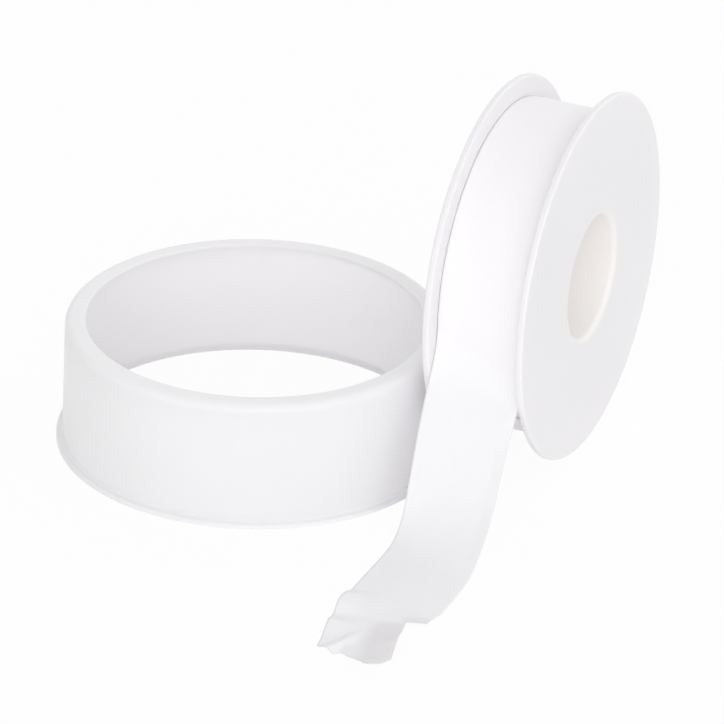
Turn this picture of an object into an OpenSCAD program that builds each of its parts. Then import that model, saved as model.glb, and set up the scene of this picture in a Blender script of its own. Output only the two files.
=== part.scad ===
// Thread seal tape roll. A flanged reel stands on its rims with the film wound on it.
// The film's free end hangs off the front of the roll and lies on the table.
// The slip-on cover ring lies flat beside the reel.
// Millimetres, +Z up. The origin is the middle of the reel's bore, and its axis runs along X.

/* [Tape] */
// Width of the film
tape_w = 12; // [10:0.5:16]
// Thickness of the film
film_t = 0.1; // [0.1:0.05:0.2]
// Diameter over the wound film
roll_d = 44.2; // [42:0.2:46]
// Running gap between the last turn and the layers below it
turn_gap = 0.15; // [0.1:0.05:0.3]

/* [Reel] */
// Diameter of both flanges
flange_d = 50; // [49:0.5:58]
// Thickness of each flange
flange_t = 0.95; // [0.85:0.05:1.4]
// Diameter of the through bore
bore_d = 17; // [12:0.5:20]
// Wall of the hub between the bore and the film
hub_wall = 1.2; // [0.8:0.1:2]
// Gap between the film and each flange
side_gap = 0.1; // [0.1:0.05:0.4]
// Rounding of the bore's two edges
bore_round = 0.75; // [0.2:0.05:0.8]
// Rounding of the flange rims
rim_round = 0.3; // [0.1:0.05:0.34]

/* [Free end] */
// Angle below the front where the left edge leaves the roll
leave_left = 1; // [0:1:8]
// Angle below the front where the right edge leaves the roll
leave_right = 14; // [10:1:16]
// Forward lean of the hanging left edge
lean_left = 32; // [26:1:36]
// Forward lean of the hanging right edge
lean_right = 41; // [34:1:44]
// Radius of the left edge's curve off the roll
peel_left = 11; // [6:0.5:12]
// Radius of the right edge's curve off the roll
peel_right = 5; // [4:0.5:7]
// Radius of the left edge's curve onto the table
foot_left = 7.5; // [5:0.5:12]
// Radius of the right edge's curve onto the table
foot_right = 20; // [14:0.5:21]
// Sideways drift of the lying left edge
drift_left = 1.4; // [0:0.1:3]
// Sideways drift of the lying right edge
drift_right = 2.1; // [0:0.1:3]
// Length of the run on the table up to the right end of the fold
run_len = 13; // [8:0.1:40]
// Distance that the left end of the fold lies further forward
fold_slant = 3.1; // [0:0.1:6]
// Length of the hump before the fold
hump_len = 7.5; // [5:0.1:10]
// Height of the hump at the left edge
hump_h = 0.85; // [0.2:0.05:1.5]
// Inward turn of the left corner at the fold
fold_in = 0.5; // [0:0.05:1]
// Inward turn of the right corner at the fold
corner_in = 0.4; // [0:0.1:1.5]
// Rise of the torn step's edge off the table
step_lift = 0.3; // [0:0.05:0.6]
// Share of the width that the torn flap past the fold keeps
flap_share = 0.765; // [0.6:0.005:0.9]
// Greatest length of the torn flap
flap_len = 13.5; // [8:0.5:16]
// Sideways skew of the torn flap at its left edge
flap_skew = 1.5; // [0:0.1:3]
// Further skew at the flap's right edge
flap_widen = 1.6; // [0:0.1:3]
// Height of the crumple past the left end of the fold
crumple_h = 0.7; // [0.2:0.05:1.2]
// Height of the crease that runs in from the left end of the tear
crease_h = 0.5; // [0.1:0.05:1]
// Rise of the flap's right front corner off the table
corner_lift = 1.9; // [0.5:0.1:3]

/* [Cover ring] */
// Height of the cover ring
cover_h = 17.5; // [17:0.1:24]
// Wall of the cover ring
cover_wall = 0.45; // [0.4:0.05:1.2]
// Gap round the flange at the lipped end
cover_fit = 0.1; // [0.1:0.05:0.4]
// Widening of the wall towards the flared end
cover_draft = 0.3; // [0.1:0.05:0.6]
// Inward reach of the lip past the wall
lip_reach = 2.3; // [1.8:0.1:4]
// Thickness of the lip at its inner edge
lip_t = 0.5; // [0.4:0.05:1]
// Rounding of the lip's inner edge
lip_edge = 0.2; // [0.1:0.05:0.35]
// Rounding of the lip's outer corner
lip_round = 1.1; // [0.3:0.05:1.2]
// Outward reach of the flared rim
flare_reach = 0.85; // [0.6:0.05:1.2]
// Thickness of the flared rim
flare_t = 0.7; // [0.6:0.1:1.2]
// Gap between the flared rim and the plane of the reel's far face
cover_gap = 0.15; // [0.1:0.05:20]
// Distance of the cover's centre in front of the reel's axis
cover_front = 18; // [0:0.5:30]

/* [Hidden] */
$fn = 96;

flange_r = flange_d / 2;
bore_r = bore_d / 2;
hub_r = bore_r + hub_wall;
slot_w = tape_w + 2 * side_gap;
reel_w = slot_w + 2 * flange_t;
table_z = -flange_r;
roll_r = roll_d / 2;
turn_in = roll_r - film_t;
core_r = turn_in - turn_gap;

// The last turn begins below the front, hidden by the free end, and ends above the front at the seam.
turn_start = 40;
seam = -20;

cover_in_top = flange_r + cover_fit;
cover_in_foot = cover_in_top + cover_draft;
cover_out_top = cover_in_top + cover_wall;
cover_out_foot = cover_in_foot + cover_wall;
flare_r = cover_out_foot + flare_reach;
flare_fillet = 0.5;
// Inner radius of the lip, fall of its underside towards the wall, and radius where it meets the wall
lip_in = cover_in_top - lip_reach;
lip_slope = 0.45;
wall_slope = cover_draft / cover_h;
lip_root = (cover_in_top + wall_slope * (lip_t - lip_slope * lip_in)) / (1 - wall_slope * lip_slope);
cover_x = -reel_w / 2 - cover_gap - flare_r;
cover_y = -cover_front;

// Points along one line of the free end, and strips across the flap and across the torn step beside it
wrap_n = 6;
peel_n = 7;
hang_n = 4;
foot_n = 10;
run_n = 8;
flap_n = 12;
flap_strips = 9;
step_strips = 3;

// Length along which the hanging film drifts sideways on the table
drift_rest = 4;
// Length of the right edge that turns in at the corner
corner_len = 4;
// Fractions of the hump at which it has risen and at which it begins to fall
hump_up = 0.45;
hump_down = 0.6;
// Share of the flap's width that the crumple takes, and the fractions along the flap of its top and end
crumple_w = 0.55;
crumple_top = 0.25;
crumple_end = 0.75;
// Crease: its place on the left edge and at its inner end, its reach across, its two slopes' lengths
crease_left = 0.95;
crease_in = 0.6;
crease_reach = 0.55;
crease_back = 0.14;
crease_front = 0.3;
// Fraction across the flap where its right part begins to rise, and along it where it has risen
lift_from = 0.3;
lift_top = 0.6;
// Length of the flap at fractions across it, as shares of its greatest length
torn_edge = [[0, 0.57], [0.3, 0.7], [0.34, 0.66], [0.78, 0.955], [0.94, 0.975], [1, 0.885]];

function mix(a, b, f) = a + (b - a) * f;
function ease(f) = let (c = min(1, max(0, f))) c * c * (3 - 2 * c);
function arm(r, a) = [r * cos(a), r * sin(a)];

// Settings of the line at the fraction u across the film, from the left edge to the right one
function leave(u) = mix(leave_left, leave_right, u);
function lean(u) = mix(lean_left, lean_right, u);
function peel(u) = mix(peel_left, peel_right, u);
function foot(u) = mix(foot_left, foot_right, u);

// Centre of the curve off the roll, the point where it ends, and the centre of the curve onto the table
function peel_centre(u) = -arm(turn_in + peel(u), leave(u));
function hang_top(u) = peel_centre(u) + arm(peel(u), -lean(u));
function hang_foot_z(u) = table_z + foot(u) * (1 - sin(lean(u)));
function hang_foot_y(u) = hang_top(u)[0] - (hang_top(u)[1] - hang_foot_z(u)) * tan(lean(u));
function foot_centre(u) = [hang_foot_y(u) - foot(u) * cos(lean(u)), table_z + foot(u)];
function hang_len(u) = (hang_top(u)[1] - hang_foot_z(u)) / cos(lean(u));
function foot_len(u) = foot(u) * (90 - lean(u)) * PI / 180;

// Place of the fold on the line u
function fold_y(u) = foot_centre(0.5)[0] - run_len - fold_slant * (1 - u);

// Sideways place of the line u after the length s of hanging and lying film
function film_x(u, s) =
    mix(-tape_w / 2, tape_w / 2, u)
    + mix(drift_left, drift_right, u) * ease(s / (hang_len(u) + foot_len(u) + drift_rest));

// Points of the line u from the seam to the fold, raised by t off the inner face
function wound_points(u, t) = [
    for (i = [0 : wrap_n - 1])
        let (q = -arm(turn_in + t, mix(seam, leave(u), i / wrap_n)))
        [film_x(u, 0), q[0], q[1]]
];
function peel_points(u, t) = [
    for (i = [0 : peel_n - 1])
        let (a = leave(u) - (leave(u) + lean(u)) * i / peel_n)
        let (q = peel_centre(u) + arm(peel(u) - t, a))
        [film_x(u, 0), q[0], q[1]]
];
function hang_points(u, t) = [
    for (i = [0 : hang_n - 1])
        let (f = i / hang_n)
        let (top = peel_centre(u) + arm(peel(u) - t, -lean(u)))
        let (low = foot_centre(u) + arm(foot(u) - t, -lean(u)))
        [film_x(u, f * hang_len(u)), mix(top[0], low[0], f), mix(top[1], low[1], f)]
];
function foot_points(u, t) = [
    for (i = [0 : foot_n - 1])
        let (f = i / foot_n)
        let (q = foot_centre(u) + arm(foot(u) - t, -mix(lean(u), 90, f)))
        [film_x(u, hang_len(u) + f * foot_len(u)), q[0], q[1]]
];

// The run on the table rises to a hump before the fold at the left, and a little along the torn step.
function hump(f) =
    f < hump_up ? 1 - pow(1 - max(0, f) / hump_up, 2)
    : 1 - ease((f - hump_down) / (1 - hump_down));
function hump_rise(u, y) =
    hump_h * pow(1 - u, 3) * hump(1 - (y - fold_y(u)) / hump_len)
    + step_lift * ease(u / flap_share) * ease(1 - (y - fold_y(u)) / corner_len);
function corner_turn(u, y) =
    (corner_in * ease((u - flap_share) / (1 - flap_share)) - fold_in * pow(1 - u, 2))
    * ease(1 - (y - fold_y(u)) / corner_len);
function lying_x(u, y) =
    film_x(u, hang_len(u) + foot_len(u) + foot_centre(u)[0] - y) - corner_turn(u, y);
function run_points(u, t) = [
    for (i = [0 : run_n])
        let (y = mix(foot_centre(u)[0], fold_y(u), i / run_n))
        [lying_x(u, y), y, table_z + t + hump_rise(u, y)]
];

// The torn flap past the fold: crumple and crease at its left, a rise at its right, a ragged last row
function crumple(w, f) =
    max(0, 1 - w / crumple_w) * ease(f / crumple_top)
    * min(1, max(0, (crumple_end - f) / (crumple_end - crumple_top)));
function crease(w, f) =
    let (d = f - mix(crease_left, crease_in, w / crease_reach))
    sin(180 * min(1, w / crease_reach)) * max(0, 1 - (d < 0 ? -d / crease_back : d / crease_front));
function lift(w, f) = max(0, w - lift_from) / (1 - lift_from) * min(1, f / lift_top);
function flap_rise(w, f) =
    hump_rise(w * flap_share, fold_y(w * flap_share)) * (1 - ease(f / crumple_top))
    + crumple_h * crumple(w, f) + crease_h * crease(w, f) + corner_lift * lift(w, f);
function flap_points(u, t) = [
    for (i = [1 : flap_n])
        let (f = i / flap_n)
        let (w = u / flap_share)
        let (x = lying_x(u, fold_y(u)) + (flap_skew + flap_widen * w * w) * f)
        let (y = fold_y(u) - f * flap_len * lookup(w, torn_edge))
        [x, y, table_z + t + flap_rise(w, f)]
];
function strip_line(u, t) = concat(
    wound_points(u, t), peel_points(u, t), hang_points(u, t), foot_points(u, t), run_points(u, t)
);
function film_lines(t) = concat(
    [
        for (k = [0 : flap_strips])
            let (u = flap_share * k / flap_strips)
            concat(strip_line(u, t), flap_points(u, t))
    ],
    [for (k = [1 : step_strips]) strip_line(mix(flap_share, 1, k / step_strips), t)]
);

// Least gap of the film to itself, between points of one line along it that lie well apart
turn_route = [for (i = [0 : 80]) -arm(turn_in, mix(turn_start, 360 + seam, i / 80))];
free_route = [for (q = concat(strip_line(0.5, 0), flap_points(0.5, 0))) [q[1], q[2]]];
film_route = concat(turn_route, free_route);
film_gap = min([
    for (i = [0 : len(film_route) - 1])
        for (j = [i + 12 : 1 : len(film_route) - 1])
            norm(film_route[i] - film_route[j])
]) - film_t;
echo(least_film_gap = film_gap);

// Corner of a square cut to a true arc: quarter of a square outside a circle, at the corner [0, 0]
module corner_cut(r) {
    difference() {
        translate([-1, -1]) square([r + 1, r + 1]);
        translate([r, r]) circle(r = r);
        translate([r, -2]) square([r + 2, r + 4]);
        translate([-2, r]) square([r + 4, r + 2]);
    }
}

module reel_profile() {
    difference() {
        union() {
            translate([bore_r, -reel_w / 2]) square([hub_wall, reel_w]);
            for (side = [-1, 1])
                translate([bore_r, side * (slot_w + flange_t) / 2 - flange_t / 2])
                    square([flange_r - bore_r, flange_t]);
        }
        for (side = [0, 1])
            mirror([0, side]) {
                translate([bore_r, -reel_w / 2]) corner_cut(bore_round);
                translate([flange_r, -reel_w / 2]) mirror([1, 0]) corner_cut(rim_round);
                translate([flange_r, -slot_w / 2]) mirror([1, 0]) mirror([0, 1]) corner_cut(rim_round);
            }
    }
}

module reel() {
    color([0.95, 0.95, 0.94])
        rotate([0, 90, 0])
            rotate_extrude()
                reel_profile();
}

module tape_inner_layers() {
    color([0.97, 0.97, 0.97])
        rotate([0, 90, 0])
            rotate_extrude()
                translate([hub_r, -tape_w / 2])
                    square([core_r - hub_r, tape_w]);
}

module tape_outer_turn() {
    color([0.98, 0.98, 0.98])
        rotate([0, 90, 0])
            rotate([0, 0, turn_start - 90])
                rotate_extrude(angle = 360 + seam - turn_start)
                    translate([turn_in, -tape_w / 2])
                        square([film_t, tape_w]);
}

// A strip between two equal sets of lines along the film. The lines past the flap end at the fold.
module film_strip(under, over) {
    n = len(under) - 1;
    m = len(under[0]) - 1;
    r = len(under[n]) - 1;
    k = flap_strips;
    function at(i, j) = (i <= k ? i * (m + 1) : (k + 1) * (m + 1) + (i - k - 1) * (r + 1)) + j;
    points = concat([for (c = under) each c], [for (c = over) each c]);
    top = len(points) / 2;
    flat = [
        for (i = [0 : n - 1])
            for (j = [0 : (i < k ? m : r) - 1])
                [at(i, j), at(i, j + 1), at(i + 1, j + 1), at(i + 1, j)]
    ];
    border = concat(
        [for (j = [0 : m - 1]) at(0, j)],
        [for (i = [0 : k - 1]) at(i, m)],
        [for (j = [m : -1 : r + 1]) at(k, j)],
        [for (i = [k : n - 1]) at(i, r)],
        [for (j = [r : -1 : 1]) at(n, j)],
        [for (i = [n : -1 : 1]) at(i, 0)]
    );
    ends = len(border);
    faces = concat(
        [for (q = flat) each [[q[0], q[1], q[2]], [q[0], q[2], q[3]]]],
        [for (q = flat) each [
            [top + q[0], top + q[2], top + q[1]],
            [top + q[0], top + q[3], top + q[2]]
        ]],
        [for (e = [0 : ends - 1]) let (a = border[e], b = border[(e + 1) % ends]) each [
            [a, top + a, top + b],
            [a, top + b, b]
        ]]
    );
    polyhedron(points = points, faces = faces, convexity = 6);
}

module tape_tail() {
    color([0.98, 0.98, 0.98])
        film_strip(film_lines(0), film_lines(film_t));
}

module cover_profile() {
    difference() {
        union() {
            polygon([
                [cover_in_foot, 0], [cover_out_foot, 0], [cover_out_top, cover_h], [lip_in, cover_h],
                [lip_in, cover_h - lip_t], [lip_root, cover_h - lip_t - (lip_root - lip_in) * lip_slope]
            ]);
            translate([cover_in_foot + cover_wall / 2, 0])
                square([cover_wall / 2 + flare_reach, flare_t]);
            difference() {
                translate([cover_in_foot + cover_wall / 2, flare_t - 0.1])
                    square([cover_wall / 2 + flare_fillet, flare_fillet + 0.1]);
                translate([cover_out_foot + flare_fillet, flare_t + flare_fillet])
                    circle(r = flare_fillet);
            }
        }
        translate([cover_out_top, cover_h]) mirror([1, 0]) mirror([0, 1]) corner_cut(lip_round);
        translate([lip_in, cover_h]) mirror([0, 1]) corner_cut(lip_edge);
        translate([flare_r, flare_t]) mirror([1, 0]) mirror([0, 1]) corner_cut(flare_t * 0.4);
    }
}

module cover_ring() {
    color([0.94, 0.94, 0.93])
        translate([cover_x, cover_y, table_z])
            rotate_extrude()
                cover_profile();
}

reel();
tape_inner_layers();
tape_outer_turn();
tape_tail();
cover_ring();
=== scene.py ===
"""Thread seal tape roll: a flanged reel with wound film, its free end on the table, and the cover ring beside it.

Everything is in metres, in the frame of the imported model: the reel's axis is X, the free end lies towards -Y.
"""
import math
import random

import bpy
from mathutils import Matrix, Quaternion, Vector, noise


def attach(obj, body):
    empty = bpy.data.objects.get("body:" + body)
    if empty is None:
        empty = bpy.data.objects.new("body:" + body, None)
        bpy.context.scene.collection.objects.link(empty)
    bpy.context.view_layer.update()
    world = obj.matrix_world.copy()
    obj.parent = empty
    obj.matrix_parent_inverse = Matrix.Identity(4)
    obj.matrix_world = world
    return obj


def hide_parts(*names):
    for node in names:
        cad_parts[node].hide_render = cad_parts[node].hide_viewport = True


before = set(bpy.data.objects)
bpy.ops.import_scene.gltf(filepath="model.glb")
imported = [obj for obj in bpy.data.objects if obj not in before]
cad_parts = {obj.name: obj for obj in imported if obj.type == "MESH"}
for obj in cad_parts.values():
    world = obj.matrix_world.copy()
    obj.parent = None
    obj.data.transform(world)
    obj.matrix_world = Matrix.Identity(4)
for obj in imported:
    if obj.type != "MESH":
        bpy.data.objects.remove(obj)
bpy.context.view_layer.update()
bpy.context.scene.view_settings.view_transform = "Standard"
# White plastic next to white plastic passes light to and fro many times.
bpy.context.scene.cycles.max_bounces = 16
bpy.context.scene.cycles.diffuse_bounces = 16

MM = 0.001

# The film and the roll
TAPE_W = 12.0 * MM
FILM_T = 0.1 * MM
FILM_ASIDE = 0.06 * MM
ROLL_R = 22.1 * MM
TURN_IN = ROLL_R - FILM_T
TURN_GAP = 0.15 * MM
CORE_R = TURN_IN - TURN_GAP
HUB_R = 9.7 * MM
BORE_R = 8.5 * MM
TABLE_Z = -25.0 * MM
TURN_START = 40.0
SEAM = -20.0

# The free end: left edge and right edge
LEAVE = (1.0, 14.0)
LEAN = (32.0, 41.0)
PEEL_R = (11.0 * MM, 5.0 * MM)
FOOT_R = (7.5 * MM, 20.0 * MM)
DRIFT = (1.4 * MM, 2.1 * MM)
DRIFT_REST = 4.0 * MM
RUN_LEN = 13.0 * MM
FOLD_SLANT = 3.1 * MM
HUMP_LEN = 7.0 * MM
HUMP_H = 0.85 * MM
HUMP_UP = 0.45
HUMP_DOWN = 0.6
FOLD_IN = 0.5 * MM
CORNER_IN = 0.4 * MM
CORNER_LEN = 4.0 * MM
STEP_LIFT = 0.3 * MM
FLAP_SHARE = 0.765
FLAP_LEN = 13.5 * MM
FLAP_SKEW = 1.5 * MM
FLAP_WIDEN = 1.6 * MM
CRUMPLE_H = 0.7 * MM
CRUMPLE_W = 0.55
CRUMPLE_TOP = 0.25
CRUMPLE_END = 0.75
CREASE_H = 0.65 * MM
CREASE_LEFT = 1.17
CREASE_IN = 0.45
CREASE_REACH = 0.55
CREASE_BACK = 0.22
CREASE_FRONT = 0.2
CORNER_LIFT = 1.9 * MM
LIFT_FROM = 0.3
LIFT_TOP = 0.6
TORN_EDGE = ((0.0, 0.57), (0.3, 0.7), (0.34, 0.66), (0.78, 0.955), (0.94, 0.975), (1.0, 0.885))

# Relief of the film: drooping edges on the roll, soft waves, a curled right edge and a ragged tear
DROOP = 0.08 * MM
DROOP_SHARE = 0.1
WAVE_WOUND = 0.02 * MM
WAVE_FREE = 0.05 * MM
WAVE_FLAP = 0.09 * MM
CURL_FROM = 0.8
CURL_VALLEY = 0.885
CURL_DIP = 0.05 * MM
CURL_RISE = 0.24 * MM
RAGGED = 0.12 * MM
# How the noise of these forms is stretched across and along the film, and its seed
WAVE_SCALE = (0.4, 0.1, 3.0)
FINE_SCALE = (0.55, 0.4, 11.0)
RAGGED_SCALE = (31.0, 5.0)
# Share of the flap over which the finer waves take over, and how steeply the tear's raggedness sets in
FINE_FROM = 0.3
TEAR_FLAP = 8
TEAR_STEP = 30
# Shares of the hanging film over which the curl grows, and of its foot over which it is pinched and fades
CURL_GROWS = (0.35, 0.75)
CURL_PINCH = 0.5
PINCH_START, PINCH_TOP, PINCH_END = 0.0, 0.1, 0.2
CURL_FADES = (0.3, 0.8)
# Step along and across the film over which its slope is taken
SLOPE_STEP = 0.01

# Rows of the film's mesh in each of its stretches, and columns across the flap and across the torn step beside it
STRETCHES = (
    ("turn", 150),
    ("wrap", 16),
    ("peel", 20),
    ("hang", 26),
    ("foot", 30),
    ("run", 44),
    ("flap", 40),
)
FLAP_COLUMNS = 36
STEP_COLUMNS = 12
FILM_COLUMNS = FLAP_COLUMNS + STEP_COLUMNS

# Where the film stops being wound and is a single layer, in film widths from its hidden start
FILM_THINS = (10.1, 11.3)
# Where shade is painted into the film's tone: on the flap's right part, which tilts away from the light, and on the
# run just before the torn step, in the fold's shadow.
# Across the flap and along it, along the run to the torn step, and the width over which that begins beside the step
SHADE_FROM = (0.5, 0.0)
SHADE_TO = (0.75, 0.12)
SHADE_RUN = 0.78
SHADE_EDGE = 0.1

# The layers below the last turn
LAYER_SEED = 7
LAYER_STEPS = 42
LAYER_SLIP = 0.02 * MM
LAYER_SIDE = 6.06 * MM
LAYER_TURN_STEPS = 160
LAYER_RINGS = 1500.0
LAYER_SMOOTH = 30.0
LAYER_MERGE = 0.002 * MM
NEARLY = 0.01 * MM

# Tints of the finishes
FILM_WOUND = (0.985, 0.966, 0.988)
FILM_SINGLE = (0.938, 0.935, 0.957)
# painted shade: the greyer tone on the flap's tilted right part and beside the torn step
FILM_PAINTED_SHADE = (0.85, 0.832, 0.845)
LAYER_PALE = (0.95, 0.95, 0.95)
LAYER_DEEP = (0.92, 0.92, 0.92)
REEL_PALE = (0.880, 0.868, 0.890)
REEL_DEEP = (0.870, 0.858, 0.878)
# painted light: a paler, warmer tint inside the reel's bore, where the bore lies in shade
REEL_BORE_PAINTED_LIGHT = (0.945, 0.905, 0.89)
COVER_PALE = (0.867, 0.854, 0.872)
COVER_DEEP = (0.857, 0.844, 0.862)
# painted light: a paler tint along the cover's foot, where the flare would otherwise render dark
COVER_FOOT_PAINTED_LIGHT = (0.905, 0.897, 0.912)

# Gloss of the plastics and the film, how deep light goes into each plastic, and how the mould's marks run on it
PLASTIC_IOR = 1.49
PLASTIC_ROUGH = 0.42
FILM_IOR = 1.35
REEL_DEPTH = 0.5 * MM
COVER_DEPTH = 1.6 * MM
REEL_MARKS = (40.0, 700.0, 700.0)
COVER_MARKS = (600.0, 600.0, 50.0)
# Radii between which the bore's painted light fades out, and heights between which the painted light of the cover's
# foot does
BORE_TINT = (BORE_R, BORE_R + 0.6 * MM)
FOOT_PAINTED_LIGHT = (TABLE_Z + 0.7 * MM, TABLE_Z + 1.3 * MM)

# The table lies just clear of what stands on it. As it is seen, its larger share is plain white,
# and the rest shows the shadows.
WHITE = (1.0, 1.0, 1.0, 1.0)
TABLE_SIZE = 6.0
TABLE_DROP = 0.05 * MM
TABLE_PAINT = (0.93, 0.93, 0.93, 1.0)
TABLE_WHITE = 0.94

# The light: the room's level overhead and what it gains towards the camera's side and the far side, and the lamps
ROOM_LEVEL = 0.455
ROOM_AHEAD = 0.44
ROOM_BEHIND = 0.97
LAMP_TARGET = Vector((-0.02, -0.02, -0.01))
LAMP_SIZE = 0.7
LAMPS = (
    ("front", Vector((0.30, -1.0, 0.40)), 2.48),
    ("front_right", Vector((0.80, -0.75, 0.35)), 0.9),
    ("right_high", Vector((0.80, -0.10, 0.80)), 1.2),
)

# The camera
CAMERA_PLACE = Vector((0.20977, -0.55357, 0.28475))
CAMERA_TARGET = Vector((-0.02580, -0.00042, -0.02011))
CAMERA_ROLL = 1.84
CAMERA_LENS = 244.06


def mix(a, b, f):
    return a + (b - a) * f


def ease(f):
    f = min(1.0, max(0.0, f))
    return f * f * (3.0 - 2.0 * f)


def ramp(f, start, stop):
    return ease((f - start) / (stop - start))


def arm(radius, degrees):
    angle = math.radians(degrees)
    return Vector((radius * math.cos(angle), radius * math.sin(angle)))


def deselect():
    for other in bpy.context.selected_objects:
        other.select_set(False)


def finish_modifier(piece, name):
    bpy.context.view_layer.objects.active = piece
    bpy.ops.object.modifier_apply(modifier=name)


# ---- The camera, the lights and the table

def add_camera():
    camera = bpy.data.objects.new("camera", bpy.data.cameras.new("camera"))
    bpy.context.scene.collection.objects.link(camera)
    camera.location = CAMERA_PLACE
    aim = (CAMERA_TARGET - CAMERA_PLACE).to_track_quat("-Z", "Y")
    camera.rotation_mode = "QUATERNION"
    camera.rotation_quaternion = aim @ Quaternion((0.0, 0.0, 1.0), math.radians(CAMERA_ROLL))
    camera.data.lens = CAMERA_LENS
    camera.data.sensor_width = 36.0
    camera.data.clip_start = 0.01
    camera.data.clip_end = 20.0
    bpy.context.scene.camera = camera


def add_lamp(name, place, power):
    lamp = bpy.data.objects.new(name, bpy.data.lights.new(name, "AREA"))
    bpy.context.scene.collection.objects.link(lamp)
    lamp.location = place
    lamp.rotation_mode = "QUATERNION"
    lamp.rotation_quaternion = (LAMP_TARGET - place).to_track_quat("-Z", "Y")
    lamp.data.shape = "DISK"
    lamp.data.size = LAMP_SIZE
    lamp.data.energy = power


def add_range(nodes, links, value, before, after, smooth=False):
    span = nodes.new("ShaderNodeMapRange")
    span.interpolation_type = "SMOOTHSTEP" if smooth else "LINEAR"
    span.inputs["From Min"].default_value, span.inputs["From Max"].default_value = before
    span.inputs["To Min"].default_value, span.inputs["To Max"].default_value = after
    links.new(value, span.inputs["Value"])
    return span.outputs["Result"]


def seen_directly(nodes, links):
    """1 for rays that show the background: from the camera, or by way of gloss or glass."""
    path = nodes.new("ShaderNodeLightPath")
    total = path.outputs["Is Camera Ray"]
    for other in ("Is Glossy Ray", "Is Transmission Ray"):
        join = nodes.new("ShaderNodeMath")
        join.operation = "MAXIMUM"
        links.new(total, join.inputs[0])
        links.new(path.outputs[other], join.inputs[1])
        total = join.outputs[0]
    return total


def add_world():
    """A soft room, brighter towards the camera's side and towards the far side than overhead."""
    world = bpy.data.worlds.new("studio")
    bpy.context.scene.world = world
    world.use_nodes = True
    nodes, links = world.node_tree.nodes, world.node_tree.links
    nodes.clear()
    output = nodes.new("ShaderNodeOutputWorld")
    room = nodes.new("ShaderNodeBackground")
    room.inputs["Color"].default_value = WHITE
    part = nodes.new("ShaderNodeSeparateXYZ")
    links.new(nodes.new("ShaderNodeTexCoord").outputs["Generated"], part.inputs["Vector"])
    level = nodes.new("ShaderNodeMath")
    level.operation = "ADD"
    ahead = add_range(nodes, links, part.outputs["Y"], (0.0, -1.0), (ROOM_LEVEL, ROOM_LEVEL + ROOM_AHEAD))
    behind = add_range(nodes, links, part.outputs["Y"], (0.0, 1.0), (0.0, ROOM_BEHIND))
    links.new(ahead, level.inputs[0])
    links.new(behind, level.inputs[1])
    links.new(level.outputs[0], room.inputs["Strength"])
    seen = nodes.new("ShaderNodeBackground")
    seen.inputs["Color"].default_value = WHITE
    seen.inputs["Strength"].default_value = 1.0
    choose = nodes.new("ShaderNodeMixShader")
    links.new(seen_directly(nodes, links), choose.inputs[0])
    links.new(room.outputs[0], choose.inputs[1])
    links.new(seen.outputs[0], choose.inputs[2])
    links.new(choose.outputs[0], output.inputs["Surface"])


def add_table():
    deselect()
    bpy.ops.mesh.primitive_plane_add(size=TABLE_SIZE, location=(0.0, 0.0, TABLE_Z - TABLE_DROP))
    table = bpy.context.object
    table.name = "table"
    material = bpy.data.materials.new("table_white")
    material.use_nodes = True
    nodes, links = material.node_tree.nodes, material.node_tree.links
    nodes.clear()
    output = nodes.new("ShaderNodeOutputMaterial")
    paint = nodes.new("ShaderNodeBsdfDiffuse")
    paint.inputs["Color"].default_value = TABLE_PAINT
    glow = nodes.new("ShaderNodeEmission")
    glow.inputs["Color"].default_value = WHITE
    glow.inputs["Strength"].default_value = 1.0
    share = nodes.new("ShaderNodeMath")
    share.operation = "MULTIPLY"
    share.inputs[1].default_value = TABLE_WHITE
    choose = nodes.new("ShaderNodeMixShader")
    links.new(seen_directly(nodes, links), share.inputs[0])
    links.new(share.outputs[0], choose.inputs[0])
    links.new(paint.outputs[0], choose.inputs[1])
    links.new(glow.outputs[0], choose.inputs[2])
    links.new(choose.outputs[0], output.inputs["Surface"])
    table.data.materials.append(material)


# ---- The film: the last turn and the free end as one strip

def peel_centre(across):
    return -arm(TURN_IN + mix(*PEEL_R, across), mix(*LEAVE, across))


def hang_top(across):
    return peel_centre(across) + arm(mix(*PEEL_R, across), -mix(*LEAN, across))


def hang_low(across):
    lean = mix(*LEAN, across)
    z = TABLE_Z + mix(*FOOT_R, across) * (1.0 - math.sin(math.radians(lean)))
    top = hang_top(across)
    return Vector((top.x - (top.y - z) * math.tan(math.radians(lean)), z))


def foot_centre(across):
    low = hang_low(across)
    foot = mix(*FOOT_R, across)
    return Vector((low.x - foot * math.cos(math.radians(mix(*LEAN, across))), TABLE_Z + foot))


def film_x(across, length):
    hanging = (hang_top(across) - hang_low(across)).length
    footing = mix(*FOOT_R, across) * math.radians(90.0 - mix(*LEAN, across))
    start = mix(-TAPE_W / 2, TAPE_W / 2, across) - FILM_ASIDE
    return start + mix(*DRIFT, across) * ease(length / (hanging + footing + DRIFT_REST))


def fold_y(across):
    return foot_centre(0.5).x - RUN_LEN - FOLD_SLANT * (1.0 - across)


def hump(f):
    if f < HUMP_UP:
        return 1.0 - (1.0 - max(0.0, f) / HUMP_UP) ** 2
    return 1.0 - ease((f - HUMP_DOWN) / (1.0 - HUMP_DOWN))


def hump_rise(across, y):
    near = y - fold_y(across)
    left = HUMP_H * (1.0 - across) ** 3 * hump(1.0 - near / HUMP_LEN)
    return left + STEP_LIFT * ease(across / FLAP_SHARE) * ease(1.0 - near / CORNER_LEN)


def lying_x(across, y):
    hanging = (hang_top(across) - hang_low(across)).length
    footing = mix(*FOOT_R, across) * math.radians(90.0 - mix(*LEAN, across))
    turn = CORNER_IN * ease((across - FLAP_SHARE) / (1.0 - FLAP_SHARE)) - FOLD_IN * (1.0 - across) ** 2
    near = ease(1.0 - (y - fold_y(across)) / CORNER_LEN)
    return film_x(across, hanging + footing + foot_centre(across).x - y) - turn * near


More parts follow.
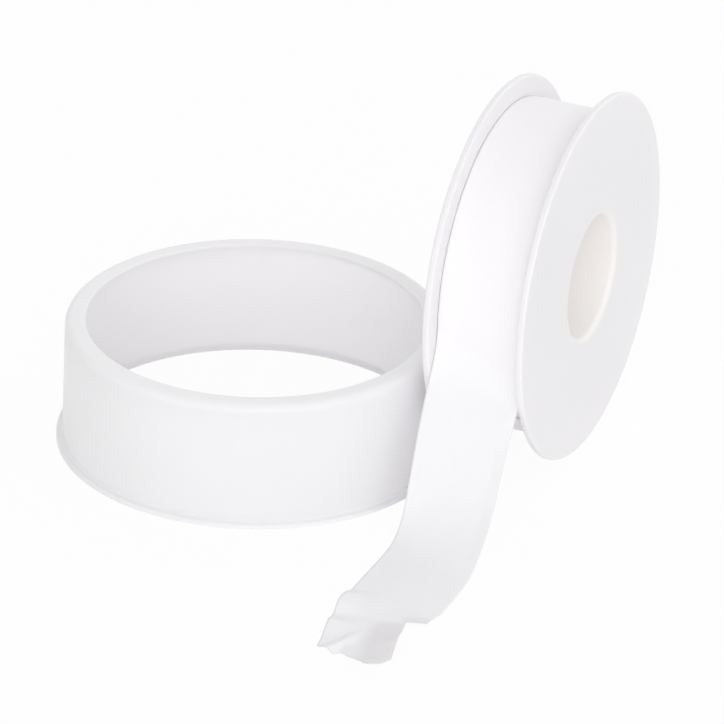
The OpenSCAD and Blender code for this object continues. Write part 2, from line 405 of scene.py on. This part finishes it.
def flap_rise(w, f):
    left = max(0.0, 1.0 - w / CRUMPLE_W) * ease(f / CRUMPLE_TOP)
    crumple = left * min(1.0, max(0.0, (CRUMPLE_END - f) / (CRUMPLE_END - CRUMPLE_TOP)))
    off = f - mix(CREASE_LEFT, CREASE_IN, w / CREASE_REACH)
    slope = -off / CREASE_BACK if off < 0.0 else off / CREASE_FRONT
    crease = math.sin(math.pi * min(1.0, w / CREASE_REACH)) * max(0.0, 1.0 - slope)
    lift = max(0.0, w - LIFT_FROM) / (1.0 - LIFT_FROM) * min(1.0, f / LIFT_TOP)
    fold = hump_rise(w * FLAP_SHARE, fold_y(w * FLAP_SHARE)) * (1.0 - ease(f / CRUMPLE_TOP))
    return fold + CRUMPLE_H * crumple + CREASE_H * crease + CORNER_LIFT * lift


def torn_edge(w):
    for (a, start), (b, stop) in zip(TORN_EDGE, TORN_EDGE[1:]):
        if w <= b:
            return mix(start, stop, (w - a) / (b - a))
    return TORN_EDGE[-1][1]


def film_path(across, stretch, f):
    """Point of the smooth film, for a fraction across it and a fraction of one stretch."""
    half = FILM_T / 2
    leave, lean = mix(*LEAVE, across), mix(*LEAN, across)
    peel, foot = mix(*PEEL_R, across), mix(*FOOT_R, across)
    hanging = (hang_top(across) - hang_low(across)).length
    footing = foot * math.radians(90.0 - lean)
    length = 0.0
    if stretch == "turn":
        q = -arm(TURN_IN + half, mix(TURN_START, 360.0 + SEAM, f))
    elif stretch == "wrap":
        q = -arm(TURN_IN + half, mix(SEAM, leave, f))
    elif stretch == "peel":
        q = peel_centre(across) + arm(peel - half, leave - (leave + lean) * f)
    elif stretch == "hang":
        top = peel_centre(across) + arm(peel - half, -lean)
        low = foot_centre(across) + arm(foot - half, -lean)
        q = top.lerp(low, f)
        length = f * hanging
    elif stretch == "foot":
        q = foot_centre(across) + arm(foot - half, -mix(lean, 90.0, f))
        length = hanging + f * footing
    elif stretch == "run":
        y = mix(foot_centre(across).x, fold_y(across), f)
        return Vector((lying_x(across, y), y, TABLE_Z + half + hump_rise(across, y)))
    else:
        w = min(1.0, across / FLAP_SHARE)
        x = lying_x(across, fold_y(across)) + (FLAP_SKEW + FLAP_WIDEN * w * w) * f
        y = fold_y(across) - f * FLAP_LEN * torn_edge(w)
        return Vector((x, y, TABLE_Z + half + flap_rise(w, f)))
    return Vector((film_x(across, length), q.x, q.y))


def film_noise(x, s, scale):
    across, along, seed = scale
    return noise.noise(Vector((x * across, s * along, seed)))


def film_relief(across, stretch, f, length):
    """Height of the film's small forms over the smooth film."""
    x, s = across * TAPE_W / MM, length / MM
    wave = film_noise(x, s, WAVE_SCALE)
    edge = max(0.0, abs(2.0 * across - 1.0) - 1.0 + DROOP_SHARE) / DROOP_SHARE
    curl = -CURL_DIP * ramp(across, CURL_FROM, CURL_VALLEY)
    curl += CURL_RISE * max(0.0, across - CURL_VALLEY) / (1.0 - CURL_VALLEY)
    if stretch in ("turn", "wrap"):
        return WAVE_WOUND * wave - DROOP * edge * edge
    if stretch == "peel":
        return mix(WAVE_WOUND, WAVE_FREE, f) * wave - DROOP * edge * edge * (1.0 - ease(f))
    if stretch == "hang":
        return WAVE_FREE * wave + curl * ramp(f, *CURL_GROWS)
    if stretch == "foot":
        pinch = CURL_PINCH * ramp(f, PINCH_START, PINCH_TOP) * ramp(f, PINCH_END, PINCH_TOP)
        kept = (1.0 - pinch) * (1.0 - ramp(f, *CURL_FADES))
        return WAVE_FREE * (wave + ease(f)) + curl * kept
    if stretch == "run":
        return WAVE_FREE * (wave + 1.0)
    fine = film_noise(x, s, FINE_SCALE)
    return mix(WAVE_FREE * (wave + 1.0), WAVE_FLAP * (fine + 1.0), ease(f / FINE_FROM))


def film_painted_shade(across, stretch, f):
    """How much shade is painted into the film here, from 0 to 1: on the flap's tilted right part and beside the
    torn step.
    """
    if stretch == "run":
        return ramp(across, FLAP_SHARE - SHADE_EDGE, FLAP_SHARE) * ramp(f, SHADE_RUN, 1.0)
    if stretch != "flap":
        return 0.0
    w = min(1.0, across / FLAP_SHARE)
    (side, start), (far, end) = SHADE_FROM, SHADE_TO
    return ramp(w, side, far) * max(ramp(f, start, end), ramp(w, 1.0 - SHADE_EDGE, 1.0))


def film_point(across, stretch, f, length):
    """Point of the film's middle surface with its small forms."""
    point = film_path(across, stretch, f)
    before, after = max(0.0, f - SLOPE_STEP), min(1.0, f + SLOPE_STEP)
    left, right = max(0.0, across - SLOPE_STEP), min(1.0, across + SLOPE_STEP)
    along = film_path(across, stretch, after) - film_path(across, stretch, before)
    beside = film_path(right, stretch, f) - film_path(left, stretch, f)
    point += along.cross(beside).normalized() * film_relief(across, stretch, f, length)
    tear_and_shade = 0.0
    if stretch == "flap":
        tear_and_shade = f ** TEAR_FLAP
    elif stretch == "run" and across > FLAP_SHARE:
        tear_and_shade = f ** TEAR_STEP
    scale, seed = RAGGED_SCALE
    point.y += RAGGED * tear_and_shade * noise.noise(Vector((across * scale, seed, 0.0)))
    return point


def column_place(column):
    if column <= FLAP_COLUMNS:
        return FLAP_SHARE * column / FLAP_COLUMNS
    return mix(FLAP_SHARE, 1.0, (column - FLAP_COLUMNS) / STEP_COLUMNS)


def add_film():
    stations = []
    for stretch, rows in STRETCHES:
        last = stretch == STRETCHES[-1][0]
        stations += [(stretch, row / rows) for row in range(rows + (1 if last else 0))]
    fold_row = sum(rows for stretch, rows in STRETCHES[:-1])
    rows = len(stations) - 1
    deselect()
    bpy.ops.mesh.primitive_grid_add(
        x_subdivisions=FILM_COLUMNS, y_subdivisions=rows, size=1.0, calc_uvs=True, location=(0.0, 0.0, 0.0)
    )
    film = bpy.context.object
    film.name = "film"
    mesh = film.data
    middle = [film_path(0.5, *station) for station in stations]
    lengths = [0.0]
    for before, after in zip(middle, middle[1:]):
        lengths.append(lengths[-1] + (after - before).length)
    places = {}
    for vertex in mesh.vertices:
        column = round((vertex.co.x + 0.5) * FILM_COLUMNS)
        row = round((vertex.co.y + 0.5) * rows)
        places[vertex.index] = (column, row)
    # The pattern's coordinates follow the film: across it from 0 to 1, and along it in film widths.
    for loop, corner in zip(mesh.loops, mesh.uv_layers[0].data):
        column, row = places[loop.vertex_index]
        corner.uv = (column_place(column), lengths[row] / TAPE_W)
    for vertex in mesh.vertices:
        column, row = places[vertex.index]
        vertex.co = film_point(column_place(column), *stations[row], lengths[row])
    # An attribute that holds where shade is painted into the film's tone, for its finish
    painted_shade = mesh.attributes.new("painted_shade", "FLOAT", "POINT")
    for vertex in mesh.vertices:
        column, row = places[vertex.index]
        painted_shade.data[vertex.index].value = film_painted_shade(column_place(column), *stations[row])
    bpy.ops.object.mode_set(mode="EDIT")
    bpy.ops.mesh.select_all(action="DESELECT")
    bpy.ops.object.mode_set(mode="OBJECT")
    for vertex in mesh.vertices:
        column, row = places[vertex.index]
        vertex.select = column > FLAP_COLUMNS and row > fold_row
    bpy.ops.object.mode_set(mode="EDIT")
    bpy.ops.mesh.delete(type="VERT")
    bpy.ops.object.mode_set(mode="OBJECT")
    wall = film.modifiers.new("thickness", "SOLIDIFY")
    wall.thickness = FILM_T
    wall.offset = 0.0
    finish_modifier(film, "thickness")
    bpy.ops.object.shade_smooth()
    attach(film, "tape_end")
    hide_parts("tape_outer_turn", "tape_tail")
    return film


# ---- The wound layers under the last turn

def add_layers():
    """A ring whose two sides show the edges of the layers, each slipped a little sideways."""
    draw = random.Random(LAYER_SEED)
    deselect()
    bpy.ops.mesh.primitive_grid_add(
        x_subdivisions=1, y_subdivisions=LAYER_STEPS, size=1.0, location=(0.0, 0.0, 0.0)
    )
    ring = bpy.context.object
    ring.name = "wound_layers"
    mesh = ring.data
    slips = [draw.uniform(-1.0, 1.0) * LAYER_SLIP for _ in range(LAYER_STEPS + 1)]
    for vertex in mesh.vertices:
        row = round((vertex.co.y + 0.5) * LAYER_STEPS)
        side = 1.0 if vertex.co.x > 0.0 else -1.0
        vertex.co = (side * LAYER_SIDE + slips[row], 0.0, mix(HUB_R, CORE_R, row / LAYER_STEPS))
    rungs = set()
    for edge in mesh.edges:
        a, b = (mesh.vertices[i].co for i in edge.vertices)
        inner = HUB_R + NEARLY < a.z < CORE_R - NEARLY
        if abs(a.z - b.z) < 1e-9 and inner:
            rungs.add(edge.index)
    bpy.ops.object.mode_set(mode="EDIT")
    bpy.ops.mesh.select_all(action="SELECT")
    bpy.ops.mesh.delete(type="ONLY_FACE")
    bpy.ops.mesh.select_all(action="DESELECT")
    bpy.ops.object.mode_set(mode="OBJECT")
    for edge in mesh.edges:
        edge.select = edge.index in rungs
    bpy.context.tool_settings.mesh_select_mode = (False, True, False)
    bpy.ops.object.mode_set(mode="EDIT")
    bpy.ops.mesh.delete(type="EDGE")
    bpy.ops.mesh.select_all(action="SELECT")
    bpy.ops.mesh.spin(
        steps=LAYER_TURN_STEPS, angle=2.0 * math.pi, center=(0.0, 0.0, 0.0), axis=(1.0, 0.0, 0.0)
    )
    bpy.ops.mesh.select_all(action="SELECT")
    bpy.ops.mesh.remove_doubles(threshold=LAYER_MERGE)
    bpy.ops.mesh.normals_make_consistent(inside=False)
    bpy.ops.object.mode_set(mode="OBJECT")
    bpy.ops.object.shade_smooth_by_angle(angle=math.radians(LAYER_SMOOTH))
    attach(ring, "reel")
    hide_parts("tape_inner_layers")
    return ring


# ---- Finishes

def new_finish(name):
    material = bpy.data.materials.new(name)
    material.use_nodes = True
    nodes, links = material.node_tree.nodes, material.node_tree.links
    return material, nodes, links, nodes["Principled BSDF"]


def add_noise(nodes, links, place, scale, detail, stretch=None):
    """Noise over the given coordinates, longer along the axes whose stretch is small."""
    if stretch:
        mapping = nodes.new("ShaderNodeMapping")
        mapping.inputs["Scale"].default_value = stretch
        links.new(place, mapping.inputs["Vector"])
        place = mapping.outputs["Vector"]
    cloud = nodes.new("ShaderNodeTexNoise")
    cloud.inputs["Scale"].default_value = scale
    cloud.inputs["Detail"].default_value = detail
    links.new(place, cloud.inputs["Vector"])
    return cloud.outputs["Fac"]


def add_blend(nodes, links, share, first, second, blend="MIX"):
    """Mix of two colours or sockets; share is a socket or a plain number."""
    mixer = nodes.new("ShaderNodeMix")
    mixer.data_type = "RGBA"
    mixer.blend_type = blend
    for slot, value in (("Factor", share), ("A", first), ("B", second)):
        if isinstance(value, bpy.types.NodeSocket):
            links.new(value, mixer.inputs[slot])
        else:
            mixer.inputs[slot].default_value = value if slot == "Factor" else (*value, 1.0)
    return mixer.outputs["Result"]


def add_bump(nodes, links, height, strength, distance, below=None):
    bump = nodes.new("ShaderNodeBump")
    bump.inputs["Strength"].default_value = strength
    bump.inputs["Distance"].default_value = distance
    links.new(height, bump.inputs["Height"])
    if below:
        links.new(below, bump.inputs["Normal"])
    return bump.outputs["Normal"]


def plastic_finish(name, pale, deep, depth, marks, bore=None, foot=None):
    """White moulded plastic: cloudy tint, fine grain, smudged gloss and faint marks left by the mould.

    marks stretches the mould's marks along the axes where it is small. bore is a paler, warmer tint inside
    the reel's bore, painted light in its recess, and foot is a paler tint at the cover's foot, painted light along
    its flare, where subsurface light is also turned off.
    """
    material, nodes, links, shader = new_finish(name)
    shader.inputs["IOR"].default_value = PLASTIC_IOR
    shader.inputs["Specular IOR Level"].default_value = 0.2
    shader.inputs["Subsurface Weight"].default_value = 1.0
    shader.inputs["Subsurface Radius"].default_value = (1.0, 0.95, 0.88)
    shader.inputs["Subsurface Scale"].default_value = depth
    place = nodes.new("ShaderNodeTexCoord").outputs["Object"]
    cloud = add_noise(nodes, links, place, 180.0, 4.0)
    grain = add_noise(nodes, links, place, 1800.0, 3.0)
    smudge = add_noise(nodes, links, place, 70.0, 5.0)
    mould = add_noise(nodes, links, place, 1.0, 4.0, marks)
    colour = add_blend(nodes, links, cloud, deep, pale)
    part = nodes.new("ShaderNodeSeparateXYZ")
    links.new(place, part.inputs["Vector"])
    # Painted light at the cover's foot: the tint turns paler towards the table, and subsurface light is turned off
    # there
    if foot:
        low = add_range(nodes, links, part.outputs["Z"], FOOT_PAINTED_LIGHT, (1.0, 0.0), smooth=True)
        colour = add_blend(nodes, links, low, colour, foot)
        clear = add_range(nodes, links, part.outputs["Z"], FOOT_PAINTED_LIGHT, (0.0, 1.0), smooth=True)
        links.new(clear, shader.inputs["Subsurface Weight"])
    # Painted light inside the bore: a paler, warmer tint near the bore's wall
    if bore:
        flat = nodes.new("ShaderNodeCombineXYZ")
        links.new(part.outputs["Y"], flat.inputs["Y"])
        links.new(part.outputs["Z"], flat.inputs["Z"])
        radius = nodes.new("ShaderNodeVectorMath")
        radius.operation = "LENGTH"
        links.new(flat.outputs["Vector"], radius.inputs[0])
        inside = add_range(nodes, links, radius.outputs["Value"], BORE_TINT, (1.0, 0.0), smooth=True)
        colour = add_blend(nodes, links, inside, colour, bore)
    links.new(colour, shader.inputs["Base Color"])
    gloss = nodes.new("ShaderNodeMath")
    gloss.operation = "ADD"
    rough = add_range(nodes, links, grain, (0.0, 1.0), (PLASTIC_ROUGH - 0.05, PLASTIC_ROUGH + 0.05))
    links.new(rough, gloss.inputs[0])
    links.new(add_range(nodes, links, smudge, (0.3, 0.7), (-0.04, 0.05)), gloss.inputs[1])
    links.new(gloss.outputs[0], shader.inputs["Roughness"])
    normal = add_bump(nodes, links, grain, 0.25, 0.03 * MM)
    normal = add_bump(nodes, links, mould, 0.2, 0.03 * MM, normal)
    links.new(normal, shader.inputs["Normal"])
    return material


def film_finish(name, wound, single, painted_shade):
    """White film: thick and very white where it is wound, one layer at the free end, with painted shade where the
    flap tilts away from the light and beside the torn step.
    """
    material, nodes, links, shader = new_finish(name)
    shader.inputs["IOR"].default_value = FILM_IOR
    place = nodes.new("ShaderNodeTexCoord").outputs["UV"]
    part = nodes.new("ShaderNodeSeparateXYZ")
    links.new(place, part.inputs["Vector"])
    thin = add_range(nodes, links, part.outputs["Y"], FILM_THINS, (0.0, 1.0), smooth=True)
    tone = add_blend(nodes, links, thin, wound, single)
    # Painted shade: this attribute greys the tone where the flap tilts away from the light and beside the torn step
    tear_and_shade = nodes.new("ShaderNodeAttribute")
    tear_and_shade.attribute_name = "painted_shade"
    tone = add_blend(nodes, links, tear_and_shade.outputs["Fac"], tone, painted_shade)
    streaks = add_noise(nodes, links, place, 1.0, 5.0, (40.0, 1.2, 1.0))
    mottle = add_noise(nodes, links, place, 1.0, 4.0, (9.0, 9.0, 1.0))
    streaked = add_range(nodes, links, streaks, (0.0, 1.0), (0.98, 1.0))
    tone = add_blend(nodes, links, 1.0, tone, streaked, "MULTIPLY")
    mottled = add_range(nodes, links, mottle, (0.3, 0.7), (0.99, 1.0))
    tone = add_blend(nodes, links, 1.0, tone, mottled, "MULTIPLY")
    links.new(tone, shader.inputs["Base Color"])
    links.new(add_range(nodes, links, mottle, (0.3, 0.7), (0.5, 0.62)), shader.inputs["Roughness"])
    normal = add_bump(nodes, links, streaks, 0.3, 0.02 * MM)
    normal = add_bump(nodes, links, mottle, 0.3, 0.03 * MM, normal)
    links.new(normal, shader.inputs["Normal"])
    return material


def layer_finish(name, pale, deep):
    """Edges of the wound layers: fine rings of tint round the reel's axis."""
    material, nodes, links, shader = new_finish(name)
    shader.inputs["IOR"].default_value = FILM_IOR
    place = nodes.new("ShaderNodeTexCoord").outputs["Object"]
    rings = nodes.new("ShaderNodeTexWave")
    rings.wave_type = "RINGS"
    rings.rings_direction = "X"
    rings.inputs["Scale"].default_value = LAYER_RINGS
    rings.inputs["Distortion"].default_value = 2.0
    rings.inputs["Detail"].default_value = 3.0
    links.new(place, rings.inputs["Vector"])
    links.new(add_blend(nodes, links, rings.outputs["Fac"], deep, pale), shader.inputs["Base Color"])
    cloud = add_noise(nodes, links, place, 900.0, 3.0)
    links.new(add_range(nodes, links, cloud, (0.0, 1.0), (0.52, 0.68)), shader.inputs["Roughness"])
    links.new(add_bump(nodes, links, rings.outputs["Fac"], 0.3, 0.03 * MM), shader.inputs["Normal"])
    return material


def dress(piece, material):
    piece.data.materials.clear()
    piece.data.materials.append(material)


add_camera()
add_world()
for lamp in LAMPS:
    add_lamp(*lamp)
add_table()

film = add_film()
layers = add_layers()

reel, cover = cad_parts["reel"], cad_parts["cover_ring"]
dress(film, film_finish("film_white", FILM_WOUND, FILM_SINGLE, FILM_PAINTED_SHADE))
dress(layers, layer_finish("layer_edges", LAYER_PALE, LAYER_DEEP))
dress(reel, plastic_finish("reel_white", REEL_PALE, REEL_DEEP, REEL_DEPTH, REEL_MARKS, bore=REEL_BORE_PAINTED_LIGHT))
dress(cover, plastic_finish("cover_white", COVER_PALE, COVER_DEEP, COVER_DEPTH, COVER_MARKS, foot=COVER_FOOT_PAINTED_LIGHT))
